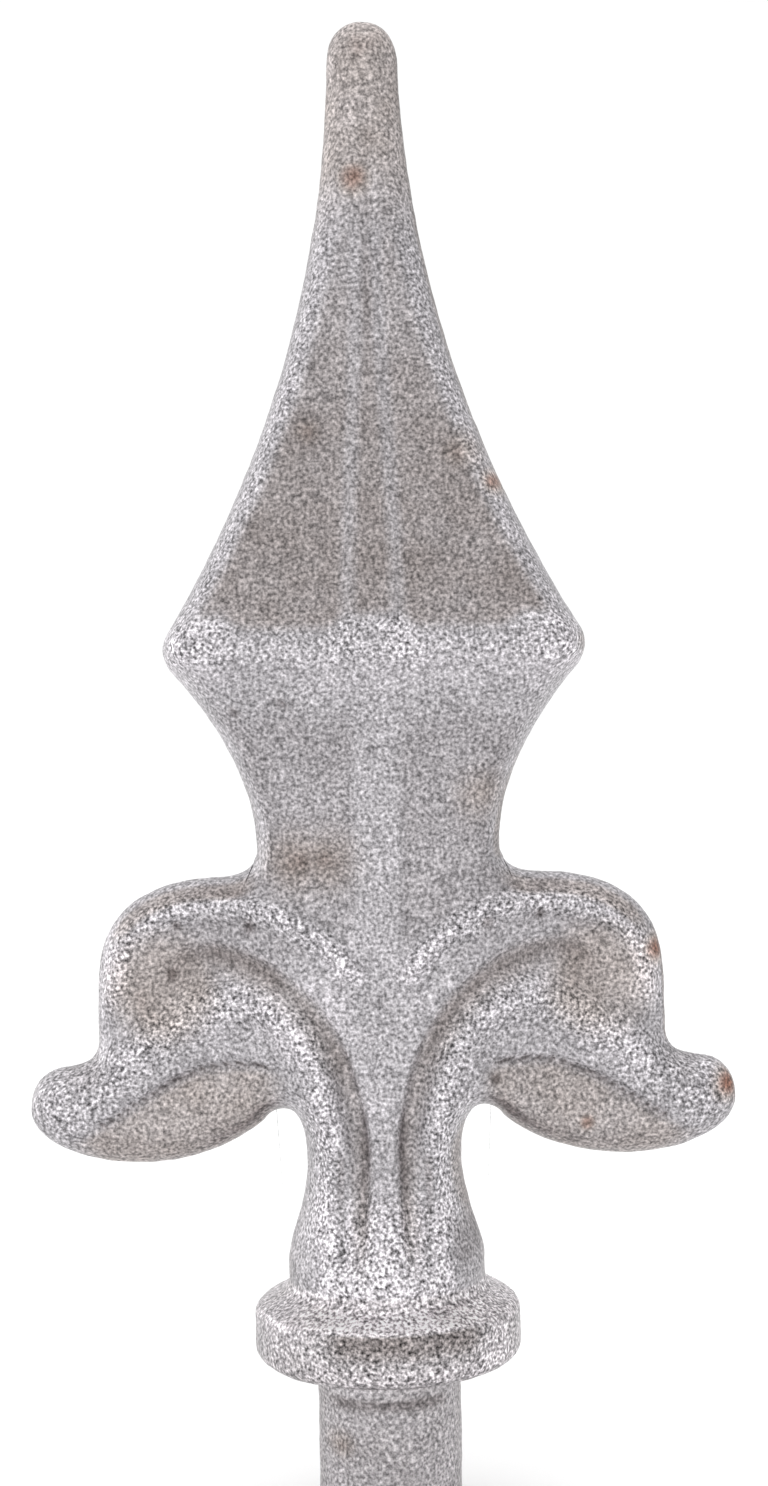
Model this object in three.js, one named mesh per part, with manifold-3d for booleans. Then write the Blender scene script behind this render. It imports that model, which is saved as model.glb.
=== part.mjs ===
// Spear-point fence finial: one drop forging in bare steel, 149.8 mm tall.
// A four-sided spear blade with a flat midrib stands on a waisted neck. Two leaves curl out of the neck,
// their stalks run down into a round bulb, and a turned collar closes the bulb above a plain round stem.
// Millimetres, +Z up, X across the leaves, Y through the thickness. The origin is the centre of the stem's
// flat lower end, where the finial is welded to a picket. Front and back come from mirrored dies, so the
// two faces are alike and meet on the parting plane y = 0.
import * as THREE from "three";
import { mergeGeometries, mergeVertices } from "three/addons/utils/BufferGeometryUtils.js";
import Module from "manifold-3d";

// Heights of the main stations above the stem's end
const HEIGHT = 149.8;
const TIP_SHOULDER_Z = 145.2;
const RIDGE_Z = 87.5;
const NECK_Z = 67.3;
const FORK_Z = 52.5; // lowest point of the neck's V, where the two leaves part
const CROTCH_Z = 41.1;
const STALK_Z = 37.2;
const BULB_Z = 26.5;
const COLLAR_TOP = 22.9;
const COLLAR_BOTTOM = 17.3;
const COVE_Z = 25.2; // where the cove above the collar meets the bulb
const FOOT_Z = 21; // the forged head ends inside the collar

// Half widths, across the leaves
const TIP_HALF = 3.55;
const RIDGE_HALF = 20.9;
const NECK_HALF = 12.1;
const CROTCH_HALF = 8.6;
const STALK_HALF = 7.7;
const BULB_RADIUS = 9.75;

// Turned collar and stem
const COLLAR_RADIUS = 13.2;
const COLLAR_ROUND = 1.3;
const COLLAR_SLOPE = 25; // degrees, from the cove down to the rim
const BULB_COVE = 1.6;
const STEM_RADIUS = 7.1;
const STEM_CHAMFER = 0.5;
const STEM_FILLET = 0.5;

// Half depths, through the thickness, on the centre line
const TIP_DEPTH = 3.4;
const RIDGE_DEPTH = 9;
const NECK_DEPTH = 5.4;
const BULB_DEPTH = 9.75;
const STALK_DEPTH = 6.6;
const LEAF_DEPTH = 5.4;

// Rounding of the outline, measured in from the parting line
const EDGE_ROUND = 3.1;

// Midrib and the hollow panels beside it
const RIB_HALF = 2.4;
const RIB_HALF_AT_TIP = 0.8;
const RIB_FLANK = 1.2;
const PANEL_BORDER = 1.1;
const PANEL_SLOPE = 1.8;
const BLADE_HOLLOW = 0.3;
const NECK_HOLLOW = 0.2;
const BLADE_PANEL = [88.6, 92.6, 112, 132]; // heights where it starts, is full, starts to fade and ends
const NECK_PANEL = [51, 57, 80, 86];

// Soft bead along the ridge
const RIDGE_BEAD = 0.35;
const BEAD_Z = 87.6;
const BEAD_REACH = 3.4;

// Leaf blade: how much thinner it is than the neck, and over which distance from the axis it thins
const LEAF_THINNING = 2.2;
const THIN_FROM = 7;
const THIN_TO = 18;

// Mesh density
const HALF_COLUMNS = 10;
const STALK_STEPS = 12;
const LEAF_STEPS = 12;
const ACROSS_STEPS = 20;
const LATHE_SEGMENTS = 48;
const ROUND_STEPS = 3;
const OUTLINE_STEP = 0.25;
const WELD = 1e-4;

const at = (x, z) => new THREE.Vector2(x, z);
const line = (...ends) => new THREE.LineCurve(...ends);
const bezier = (...points) => new THREE.CubicBezierCurve(...points);
const { lerp, smoothstep, clamp } = THREE.MathUtils;

// Outline of the right half, seen from the front

const foot = at(BULB_RADIUS, FOOT_Z);
const bulbTop = at(BULB_RADIUS, BULB_Z);
const stalk = at(STALK_HALF, STALK_Z);
const crotch = at(CROTCH_HALF, CROTCH_Z);
const neck = at(NECK_HALF, NECK_Z);
const ridgeUnder = at(20.2, 85.4);
const ridgeOver = at(20.3, 89.7);
const tipShoulder = at(TIP_HALF, TIP_SHOULDER_Z);
const tip = at(0, HEIGHT);

const bulbFoot = line(foot, bulbTop);
const bulbFlank = bezier(bulbTop, at(9.9, 29), at(7.6, 32.4), stalk);
const stalkFlank = bezier(stalk, at(STALK_HALF, 39), at(8.1, 40.6), crotch);
const neckFlank = bezier(neck, at(12, 73), at(14.8, 79.5), ridgeUnder);
const ridgeCorner = new THREE.QuadraticBezierCurve(ridgeUnder, at(21.8, RIDGE_Z), ridgeOver);
const bladeFlank = bezier(ridgeOver, at(6.85, 111.8), at(3.9, 133), tipShoulder);
const tipDome = bezier(tipShoulder, at(TIP_HALF, 148), at(2.9, HEIGHT), tip);

// The right leaf with its stalk is a patch between four sides: an outer side up the flank, over the crotch
// and under the hanging lobe, an inner side up the centre line, out along the neck's V and over the leaf's
// top, the foot in the collar, and the leaf's end with the notch above its curled tip.

const fork = at(0, FORK_Z);
const shoulder = at(24.56, 62.67);
const leafTip = at(35.2, 42.3);
const lobe = at(24, 36.75);
const lobeEnd = at(31.8, 38.35);

function joined(...curves) {
  const path = new THREE.CurvePath();
  curves.forEach((curve) => path.add(curve));
  return path;
}

const centreLine = line(at(0, FOOT_Z), fork);
const neckV = bezier(fork, at(5, 57), at(11, 62.5), neck);
const leafTop = joined(
  bezier(neck, at(12.3, 65.8), at(13.8, 65), at(16, 65)),
  bezier(at(16, 65), at(19.15, 65), at(22.3, 64.31), shoulder),
);
const leafEnd = joined(
  bezier(lobeEnd, at(33.85, 39.35), at(35.2, 40.75), leafTip),
  bezier(leafTip, at(35.2, 44.3), at(34, 46), at(32.2, 46.25)),
  bezier(at(32.2, 46.25), at(29.6, 46.5), at(28.3, 47), at(28.3, 49.3)),
  bezier(at(28.3, 49.3), at(28.3, 53), at(28.6, 57.2), at(26.9, 60)),
  bezier(at(26.9, 60), at(26.33, 61.08), at(25.53, 61.96), shoulder),
);
const outerSide = joined(
  bulbFoot, bulbFlank, stalkFlank,
  bezier(crotch, at(9.1, 42.2), at(10.9, 42.2), at(11.9, 40.8)),
  bezier(at(11.9, 40.8), at(14.2, 38.7), at(19, 36.75), lobe),
  bezier(lobe, at(26.9, 36.75), at(29.7, 37.35), lobeEnd),
);
const footLine = line(foot, at(0, FOOT_Z));

function sampled(curve, step = OUTLINE_STEP) {
  return curve.getSpacedPoints(Math.ceil(curve.getLength() / step));
}

const upperFlanks = [neckFlank, ridgeCorner, bladeFlank, tipDome];
const outline = [
  ...sampled(outerSide),
  ...sampled(leafEnd),
  ...sampled(leafTop).reverse(),
  ...upperFlanks.flatMap((curve) => sampled(curve)),
];

// Nearest point of a polyline: the distance to it, how far along it that point lies, from 0 to 1, and
// whether the place looked from is on the polyline's left
function nearest(points, x, z) {
  let distance = Infinity;
  let along = 0;
  let onLeft = false;
  for (let i = 1; i < points.length; i++) {
    const a = points[i - 1];
    const dx = points[i].x - a.x;
    const dz = points[i].y - a.y;
    const run = dx * dx + dz * dz;
    const part = run ? clamp(((x - a.x) * dx + (z - a.y) * dz) / run, 0, 1) : 0;
    const gap = Math.hypot(x - a.x - part * dx, z - a.y - part * dz);
    if (gap < distance) {
      distance = gap;
      along = (i - 1 + part) / (points.length - 1);
      onLeft = dx * (z - a.y) > dz * (x - a.x);
    }
  }
  return { distance, along, onLeft };
}

// Carved lines of the leaf. Each is a smooth line on the face, from the stalk outwards, with a height,
// negative for a groove, and its reach on the inner and on the outer side, at its start and at its end.

const LINE_FADE = 0.12; // share of its length over which a line rises at either end

function carvedLine(height, inner, outer, ...points) {
  const spline = new THREE.SplineCurve(points);
  return { height, inner, outer, points: sampled(spline) };
}

const carving = [
  // Rolled upper rim, from the foot of the neck's V out along the top and down the outer edge
  carvedLine(0.8, [1.4, 2.2], [2.6, 2.6], at(1.2, 53.4), at(3.1, 56.4), at(5.6, 59), at(9.3, 61.2),
    at(13, 62.2), at(17.5, 62.4), at(22, 61.5), at(25, 59), at(26.2, 55), at(26.4, 50.5)),
  // Groove under the rim, from the bulb up beside the centre and out into a hollow
  carvedLine(-0.6, [1.2, 1.5], [1.2, 4.4], at(3, 26), at(2.4, 30.5), at(2.1, 35), at(2.2, 40), at(3.3, 45),
    at(4.9, 49), at(6.7, 51.8), at(8.4, 53.6), at(10.9, 55.6), at(14, 57.2), at(17.5, 57.8), at(20, 56.8),
    at(21.5, 54.5), at(22, 51.5)),
  // Main fold, up the stalk and out to the curled tip
  carvedLine(1, [2, 4], [3, 6], at(6.2, 26), at(6, 31), at(5.2, 38), at(5.6, 42), at(6.6, 47.4),
    at(8.4, 50.7), at(11.2, 52.8), at(14.5, 53.4), at(18, 52.2), at(21.5, 50.2), at(25, 47.6),
    at(28.5, 45.2), at(31.5, 43.7), at(34.5, 42.6)),
  // Crease between the fold and the hanging lobe
  carvedLine(-0.5, [0.8, 0.8], [1.1, 1.1], at(9, 46), at(11.5, 46.7), at(14.5, 46.9), at(17.5, 46.5),
    at(20.5, 45.3), at(24, 43.3), at(27, 41.5), at(30, 40)),
];

// Raised-cosine section of a carved line
function carvedHeight(x, z) {
  return carving.reduce((sum, { height, inner, outer, points }) => {
    const { distance, along, onLeft } = nearest(points, x, z);
    const reach = lerp(...(onLeft ? inner : outer), along);
    if (distance >= reach) return sum;
    const rise = smoothstep(along, 0, LINE_FADE) * smoothstep(1 - along, 0, LINE_FADE);
    return sum + (rise * height * (1 + Math.cos((Math.PI * distance) / reach))) / 2;
  }, 0);
}

// Half width of the body at each height, leaves left out, from its sampled edge
const bodyEdge = [bulbFoot, bulbFlank, stalkFlank, line(crotch, neck), ...upperFlanks]
  .flatMap((curve) => sampled(curve));

function halfWidth(z) {
  const above = bodyEdge.findIndex((point) => point.y >= z);
  if (above < 1) return above < 0 ? 0 : bodyEdge[0].x;
  const [a, b] = [bodyEdge[above - 1], bodyEdge[above]];
  return lerp(a.x, b.x, b.y > a.y ? (z - a.y) / (b.y - a.y) : 1);
}

// Half depth on the centre line. Above the neck the sides and the face swell together.
const lowerDepth = new THREE.SplineCurve([
  at(BULB_DEPTH, FOOT_Z), at(BULB_DEPTH, BULB_Z), at(STALK_DEPTH, STALK_Z),
  at(LEAF_DEPTH, 46), at(LEAF_DEPTH - 0.2, 57), at(NECK_DEPTH, NECK_Z),
]).getPoints(120);

function centreDepth(z) {
  if (z < NECK_Z) {
    const above = lowerDepth.findIndex((point) => point.y >= z);
    return lowerDepth[Math.max(above, 0)].x;
  }
  const [low, lowDepth] = z < RIDGE_Z ? [NECK_HALF, NECK_DEPTH] : [TIP_HALF, TIP_DEPTH];
  const swell = clamp((halfWidth(z) - low) / (RIDGE_HALF - low), 0, 1);
  return lerp(lowDepth, RIDGE_DEPTH, swell);
}

// Rises from 0 at low to 1 at full, and falls from fading to 0 at high
function between(value, [low, full, fading, high]) {
  return smoothstep(value, low, full) * (1 - smoothstep(value, fading, high));
}

function ribHalf(z) {
  return lerp(RIB_HALF, RIB_HALF_AT_TIP, smoothstep(z, BLADE_PANEL[0], BLADE_PANEL[3]));
}

// How far the panel beside the midrib is hollowed, with its border kept along the outline
function panelHollow(x, z, inset) {
  const besideRib = smoothstep(x, ribHalf(z) - RIB_FLANK / 2, ribHalf(z) + RIB_FLANK / 2);
  const insideEdge = smoothstep(inset, PANEL_BORDER, PANEL_BORDER + PANEL_SLOPE);
  const hollow = BLADE_HOLLOW * between(z, BLADE_PANEL) + NECK_HOLLOW * between(z, NECK_PANEL);
  return hollow * besideRib * insideEdge;
}

function ridgeBead(z) {
  return RIDGE_BEAD * (1 - smoothstep(Math.abs(z - BEAD_Z), 0, BEAD_REACH));
}

// Width of the rounded border: the bulb and the tip are round, the stalk nearly so
function edgeRound(z) {
  const wide = lerp(halfWidth(z), EDGE_ROUND, smoothstep(z, STALK_Z - 6, CROTCH_Z + 2));
  return Math.min(wide, Math.max(halfWidth(z), 1));
}

// Half thickness of the forging at a point of its face
function halfDepth(side, z) {
  const x = Math.abs(side);
  const inset = nearest(outline, x, z).distance;
  const leafward = smoothstep(x, THIN_FROM, THIN_TO) * (1 - smoothstep(z, NECK_Z - 4, NECK_Z + 1));
  const flat = centreDepth(z) - LEAF_THINNING * leafward - panelHollow(x, z, inset);
  const full = flat + ridgeBead(z) + carvedHeight(x, z);
  const border = 1 - clamp(inset / edgeRound(z), 0, 1);
  return full * Math.sqrt(1 - border * border);
}

// A patch of the front face: a grid whose corners are moved to where place(column, row) says. Corners on
// the outline lie on the parting plane, corners on a border shared with another patch lie on the face, and
// the others take the mean of the face around them. Cells are split along the diagonal nearer the face.
function facePatch(columns, rows, place) {
  const patch = new THREE.PlaneGeometry(1, 1, columns, rows);
  const { position } = patch.attributes;
  const wide = columns + 1;
  const spots = Array.from({ length: position.count }, (_, i) => {
    return place(i % wide, rows - Math.floor(i / wide));
  });
  const meanDepth = (i) => {
    let sum = 0;
    for (const step of [-wide, 0, wide]) {
      for (const side of [-1, 0, 1]) {
        const near = spots[i + step + side];
        const weight = (step ? 1 : 2) * (side ? 1 : 2);
        sum += (weight * halfDepth((spots[i].x + near.x) / 2, (spots[i].z + near.z) / 2)) / 16;
      }
    }
    return sum;
  };
  spots.forEach(({ x, z, onOutline }, i) => {
    const onBorder = i < wide || i >= position.count - wide || i % wide === 0 || i % wide === columns;
    const depth = onBorder ? halfDepth(x, z) : meanDepth(i);
    position.setXYZ(i, x, onOutline ? 0 : -depth, z);
  });
  const offFace = (i, j) => {
    const [x, y, z] = [0, 1, 2].map((n) => (position.getComponent(i, n) + position.getComponent(j, n)) / 2);
    return Math.abs(y + halfDepth(x, z));
  };
  const triangles = [];
  for (let i = 0; i + wide + 1 < position.count; i++) {
    if (i % wide === columns) continue;
    const [a, b, c, d] = [i, i + wide, i + wide + 1, i + 1];
    triangles.push(...(offFace(a, c) < offFace(b, d) ? [a, b, c, a, c, d] : [a, b, d, b, c, d]));
  }
  patch.setIndex(triangles);
  patch.deleteAttribute("uv");
  patch.deleteAttribute("normal");
  return patch;
}

const bothEnds = (share) => (1 - Math.cos(Math.PI * share)) / 2;
const farEnd = (share) => Math.sin((Math.PI / 2) * share);
const nearFarEnd = (share) => (share + farEnd(share)) / 2;

// Columns of the blade stand close beside the midrib and again along the edge
function columnAt(index, z, half) {
  const rib = Math.min(ribHalf(z), half / 2.5);
  const ribColumns = [0, 0.75 * rib, 1.3 * rib];
  if (index < ribColumns.length) return ribColumns[index];
  const share = (index - ribColumns.length + 1) / (HALF_COLUMNS - ribColumns.length + 1);
  return lerp(ribColumns.at(-1), half, farEnd(share));
}

// Rows of the blade from the neck to the tip: how many each stretch of its edge gets
const bladeRows = [[neckFlank, 11], [ridgeCorner, 5], [bladeFlank, 12], [tipDome, 5]]
  .flatMap(([curve, count]) => curve.getPoints(count).slice(1));
bladeRows.unshift(neck);

// Point of the neck's V below each column, and the drop to it that fades out towards the ridge
const forkPoint = (index) => neckV.getPoint(columnAt(index, NECK_Z, NECK_HALF) / NECK_HALF);

const blade = facePatch(2 * HALF_COLUMNS, bladeRows.length - 1, (column, row) => {
  const edge = bladeRows[row];
  const index = Math.abs(column - HALF_COLUMNS);
  const drop = 1 - clamp((edge.y - NECK_Z) / (RIDGE_Z - NECK_Z), 0, 1);
  const vee = forkPoint(index);
  const x = columnAt(index, edge.y, edge.x) + drop * (vee.x - columnAt(index, NECK_Z, NECK_HALF));
  const z = edge.y + drop * (vee.y - NECK_Z);
  return { x: Math.sign(column - HALF_COLUMNS) * x, z, onOutline: index === HALF_COLUMNS };
});

// The leaf patch is stepped along its inner side, which meets the other leaf on the centre line and the
// blade on the neck's V, and its outer side keeps pace
const LEAF_COLUMNS = STALK_STEPS + HALF_COLUMNS + LEAF_STEPS;
const CROTCH_SHARE = 0.49;
const LOBE_SHARE = 0.71;
const END_PULL = 3; // how late the patch takes up the shape of the leaf's end

function innerPoint(column) {
  if (column <= STALK_STEPS) return centreLine.getPoint(column / STALK_STEPS);
  const beyond = column - STALK_STEPS;
  if (beyond <= HALF_COLUMNS) return forkPoint(beyond);
  return leafTop.getPoint(nearFarEnd((beyond - HALF_COLUMNS) / LEAF_STEPS));
}

function outerPoint(column) {
  if (column <= STALK_STEPS) return outerSide.getPoint((CROTCH_SHARE * column) / STALK_STEPS);
  const beyond = column - STALK_STEPS;
  if (beyond <= HALF_COLUMNS) {
    return outerSide.getPoint(lerp(CROTCH_SHARE, LOBE_SHARE, beyond / HALF_COLUMNS));
  }
  return outerSide.getPoint(lerp(LOBE_SHARE, 1, nearFarEnd((beyond - HALF_COLUMNS) / LEAF_STEPS)));
}

// Blend of the four sides that runs through all of them
function leafPoint(column, row) {
  const along = (column / LEAF_COLUMNS) ** END_PULL;
  const across = bothEnds(row / ACROSS_STEPS);
  const sides = [
    [outerPoint(column), 1 - across], [innerPoint(column), across],
    [footLine.getPoint(across), 1 - along], [leafEnd.getPoint(across), along],
    [foot, -(1 - along) * (1 - across)], [lobeEnd, -along * (1 - across)],
    [centreLine.v1, -(1 - along) * across], [shoulder, -along * across],
  ];
  return sides.reduce((sum, [point, weight]) => sum.addScaledVector(point, weight), at(0, 0));
}

const rightLeaf = facePatch(LEAF_COLUMNS, ACROSS_STEPS, (column, row) => {
  const point = leafPoint(column, row);
  const onTop = row === ACROSS_STEPS && column >= STALK_STEPS + HALF_COLUMNS;
  return { x: point.x, z: point.y, onOutline: row * column === 0 || column === LEAF_COLUMNS || onTop };
});

function mirrored(geometry, x, y) {
  const copy = geometry.clone().scale(x, y, 1);
  copy.index.array.reverse();
  return copy;
}

const front = mergeGeometries([blade, rightLeaf, mirrored(rightLeaf, -1, 1)]);
const headSkin = mergeGeometries([front, mirrored(front, 1, -1)]);

// Collar and stem, turned about the axis, from the stem's end up to the cove at the bulb's foot
function arc(centreX, centreZ, radius, from, to) {
  return Array.from({ length: ROUND_STEPS + 1 }, (_, i) => {
    const angle = THREE.MathUtils.degToRad(lerp(from, to, i / ROUND_STEPS));
    return at(centreX + radius * Math.cos(angle), centreZ + radius * Math.sin(angle));
  });
}

const rimCentre = COLLAR_RADIUS - COLLAR_ROUND;
const turnedProfile = [
  at(0, 0),
  at(STEM_RADIUS - STEM_CHAMFER, 0),
  at(STEM_RADIUS, STEM_CHAMFER),
  ...arc(STEM_RADIUS + STEM_FILLET, COLLAR_BOTTOM - STEM_FILLET, STEM_FILLET, 180, 90),
  ...arc(rimCentre, COLLAR_BOTTOM + COLLAR_ROUND, COLLAR_ROUND, -90, 0),
  ...arc(rimCentre, COLLAR_TOP - COLLAR_ROUND, COLLAR_ROUND, 0, 90 - COLLAR_SLOPE),
  ...arc(BULB_RADIUS + BULB_COVE, COVE_Z, BULB_COVE, 270 - COLLAR_SLOPE, 180),
  at(0, COVE_Z),
];
const turned = new THREE.LatheGeometry(turnedProfile, LATHE_SEGMENTS).rotateX(Math.PI / 2);

const wasm = await Module();
wasm.setup();

// Welds a skin's shared corners, drops the triangles that collapse at its seams, and makes it a solid
function solid(skin) {
  const bare = new THREE.BufferGeometry();
  bare.setAttribute("position", skin.attributes.position);
  bare.setIndex(skin.index);
  const welded = mergeVertices(bare, WELD);
  const corners = welded.index.array;
  const triangles = [];
  for (let i = 0; i < corners.length; i += 3) {
    const [a, b, c] = corners.subarray(i, i + 3);
    if (a !== b && b !== c && c !== a) triangles.push(a, b, c);
  }
  return new wasm.Manifold(new wasm.Mesh({
    numProp: 3,
    vertProperties: new Float32Array(welded.attributes.position.array),
    triVerts: new Uint32Array(triangles),
  }));
}

function geometryOf(body) {
  const { vertProperties, triVerts } = body.getMesh();
  const geometry = new THREE.BufferGeometry();
  geometry.setAttribute("position", new THREE.BufferAttribute(vertProperties, 3));
  geometry.setIndex(new THREE.BufferAttribute(triVerts, 1));
  geometry.computeVertexNormals();
  return geometry;
}

const forgedSteel = new THREE.MeshStandardMaterial({ color: 0xafabab, roughness: 0.5, metalness: 1 });

const finial = new THREE.Mesh(geometryOf(solid(headSkin).add(solid(turned))), forgedSteel);
finial.name = "spear_finial";

const group = new THREE.Group();
group.add(finial);

export default group;
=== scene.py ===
import bisect
import math
from collections import namedtuple

import bmesh
import bpy
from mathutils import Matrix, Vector, kdtree, noise
from mathutils.geometry import interpolate_bezier


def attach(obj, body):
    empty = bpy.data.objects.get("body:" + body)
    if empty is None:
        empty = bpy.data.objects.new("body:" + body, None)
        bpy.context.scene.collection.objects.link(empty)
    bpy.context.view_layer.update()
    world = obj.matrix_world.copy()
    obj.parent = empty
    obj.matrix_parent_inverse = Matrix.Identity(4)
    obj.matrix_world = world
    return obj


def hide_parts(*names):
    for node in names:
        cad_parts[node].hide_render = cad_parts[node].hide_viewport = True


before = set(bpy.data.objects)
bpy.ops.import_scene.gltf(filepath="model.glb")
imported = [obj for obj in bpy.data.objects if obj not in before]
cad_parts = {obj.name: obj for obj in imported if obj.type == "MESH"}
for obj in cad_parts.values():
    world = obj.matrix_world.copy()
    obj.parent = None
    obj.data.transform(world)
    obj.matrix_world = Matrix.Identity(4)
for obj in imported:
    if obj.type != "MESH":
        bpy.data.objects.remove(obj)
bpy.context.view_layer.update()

# Outline of the spear head, its right half from the front: blade, waisted neck, curled leaf, stalk, bulb.
# The finial is one drop forging in steel, and this is the line where its two dies met and the flash was
# trimmed off. Sizes are in millimetres from the middle of the stem's end, and MM turns them to metres.
MM = 0.001
TIP = Vector((0, 149.8))
TIP_SHOULDER = Vector((3.55, 145.2))
RIDGE_OVER = Vector((20.3, 89.7))
RIDGE_CORNER = Vector((21.8, 87.5))
RIDGE_UNDER = Vector((20.2, 85.4))
NECK = Vector((12.1, 67.3))
FORK = Vector((0, 52.5))
SHOULDER = Vector((24.56, 62.67))
LEAF_TIP = Vector((35.2, 42.3))
LOBE_END = Vector((31.8, 38.35))
LOBE = Vector((24, 36.75))
CROTCH = Vector((8.6, 41.1))
STALK = Vector((7.7, 37.2))
BULB = Vector((9.75, 26.5))
FOOT = Vector((9.75, 25.2))
CURVE_STEPS = 160


def curved(start, *handles_and_ends):
    """A line through cubic curves: each takes two handles and its end."""
    points = [Vector(start)]
    for i in range(0, len(handles_and_ends), 3):
        first, second, end = map(Vector, handles_and_ends[i:i + 3])
        points += interpolate_bezier(points[-1], first, second, end, CURVE_STEPS)[1:]
    return points


def rounded_corner(start, corner, end):
    """A line that is rounded off inside a corner."""
    return curved(start, start.lerp(corner, 2 / 3), end.lerp(corner, 2 / 3), end)


def along(points):
    """A function from a share of a line's length to the point there."""
    lengths = [0.0]
    for a, b in zip(points, points[1:]):
        lengths.append(lengths[-1] + (b - a).length)

    def point_at(share):
        reach = share * lengths[-1]
        i = min(max(bisect.bisect_left(lengths, reach), 1), len(points) - 1)
        return points[i - 1].lerp(points[i], (reach - lengths[i - 1]) / (lengths[i] - lengths[i - 1]))

    return point_at


neck_flank = curved(NECK, (12, 73), (14.8, 79.5), RIDGE_UNDER)
ridge_corner = rounded_corner(RIDGE_UNDER, RIDGE_CORNER, RIDGE_OVER)
blade_flank = curved(RIDGE_OVER, (6.85, 111.8), (3.9, 133), TIP_SHOULDER)
tip_dome = curved(TIP_SHOULDER, (3.55, 148), (2.9, 149.8), TIP)
blade_edge = neck_flank + ridge_corner[1:] + blade_flank[1:] + tip_dome[1:]
stalk_flank = [FOOT] + curved(BULB, (9.9, 29), (7.6, 32.4), STALK, (7.7, 39), (8.1, 40.6), CROTCH)
lobe_edge = curved(
    CROTCH, (9.1, 42.2), (10.9, 42.2), (11.9, 40.8), (14.2, 38.7), (19, 36.75), LOBE,
    (26.9, 36.75), (29.7, 37.35), LOBE_END)
leaf_end = curved(
    LOBE_END, (33.85, 39.35), (35.2, 40.75), LEAF_TIP, (35.2, 44.3), (34, 46), (32.2, 46.25),
    (29.6, 46.5), (28.3, 47), (28.3, 49.3), (28.3, 53), (28.6, 57.2), (26.9, 60),
    (26.33, 61.08), (25.53, 61.96), SHOULDER)
leaf_top = curved(NECK, (12.3, 65.8), (13.8, 65), (16, 65), (19.15, 65), (22.3, 64.31), SHOULDER)
neck_v = curved(FORK, (5, 57), (11, 62.5), NECK)
outline = stalk_flank + lobe_edge[1:] + leaf_end[1:] + leaf_top[-2::-1] + blade_edge[1:]


# Carving of the head: the midrib between hollow panels, and on each leaf a rolled rim, a deep groove, a
# fold that runs out to the curled tip and a crease above the hanging lobe. The dies pressed them into hot
# steel, so they are soft-edged and alike on both faces: a half thickness at each place inside the outline.
TIP_DEPTH = 3.4
RIDGE_DEPTH = 9
NECK_DEPTH = 5.4
RIDGE_HALF = 20.9
EDGE_ROUND = 3.1
LEAST_ROUND = 1
ROUND_TO_EDGE = (STALK.y - 6, CROTCH.y + 2)
RIDGE_BEAD = 0.35
BEAD_Z = 87.6
BEAD_REACH = 3.4
RIB_HALF = 2.4
RIB_HALF_AT_TIP = 0.8
RIB_FLANK = 1.2
RIB_GROOVE = 0.12
PANEL_HOLLOW = 0.3
NECK_HOLLOW = 0.2
PANEL_BORDER = 1.1
PANEL_SLOPE = 1.8
BLADE_PANEL = (88.6, 92.6, 112, 132)
NECK_PANEL = (51, 57, 80, 86)
LEAF_THINNING = 2.2
THIN_ACROSS = (7, 18)
THIN_TOP = (NECK.y - 4, NECK.y + 1)
LINE_SPACING = 0.1
LINE_FADE = 0.12

CarvedLine = namedtuple("CarvedLine", "height inner outer find")


def through(*points):
    """A smooth line through given points."""
    p = [Vector(q) for q in points]
    p = [2 * p[0] - p[1]] + p + [2 * p[-1] - p[-2]]
    handles = []
    for a, b, c, d in zip(p, p[1:], p[2:], p[3:]):
        handles += [b + (c - a) / 6, c - (d - b) / 6, c]
    return curved(p[1], *handles)


def finder(points):
    """A function from a place on the face to its distance from a line, negative on the line's left, and the
    share of the line's length there."""
    count = max(int(sum((b - a).length for a, b in zip(points, points[1:])) / LINE_SPACING), 2)
    point_at = along(points)
    spots = [point_at(i / count) for i in range(count + 1)]
    tree = kdtree.KDTree(count + 1)
    for i, spot in enumerate(spots):
        tree.insert(spot.to_3d(), i)
    tree.balance()

    def find(x, z):
        _, i, distance = tree.find((x, z, 0))
        course = (spots[min(i + 1, count)] - spots[max(i - 1, 0)]).normalized()
        across = course.cross(Vector((x, z)) - spots[i])
        if 0 < i < count:
            distance = abs(across)
        return -distance if across > 0 else distance, i / count

    return find


def line(height, inner, outer, *course):
    """A carved line: its height, negative for a groove, how far it reaches on its inner and on its outer
    side, at its start and at its end, and its course from the stalk outwards."""
    return CarvedLine(height, inner, outer, finder(through(*course)))


def ease(value, low, high):
    """Smooth step from 0 at low to 1 at high."""
    t = min(max((value - low) / (high - low), 0), 1)
    return t * t * (3 - 2 * t)


def fall(value, low, high):
    """Smooth step from 1 at low to 0 at high."""
    return 1 - ease(value, low, high)


def between(value, low, full, fading, high):
    """Rises from 0 at low to 1 at full, and falls from fading to 0 at high."""
    return ease(value, low, full) * fall(value, fading, high)


def blend(a, b, share):
    """Value at a share of the way from a to b."""
    return a + (b - a) * share


def width_at(points, z):
    """Distance out from the axis at a height, on a line that rises."""
    i = min(max(bisect.bisect_left(points, z, key=lambda point: point.y), 1), len(points) - 1)
    low, high = points[i - 1], points[i]
    return blend(low.x, high.x, min(max((z - low.y) / (high.y - low.y), 0), 1))


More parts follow.
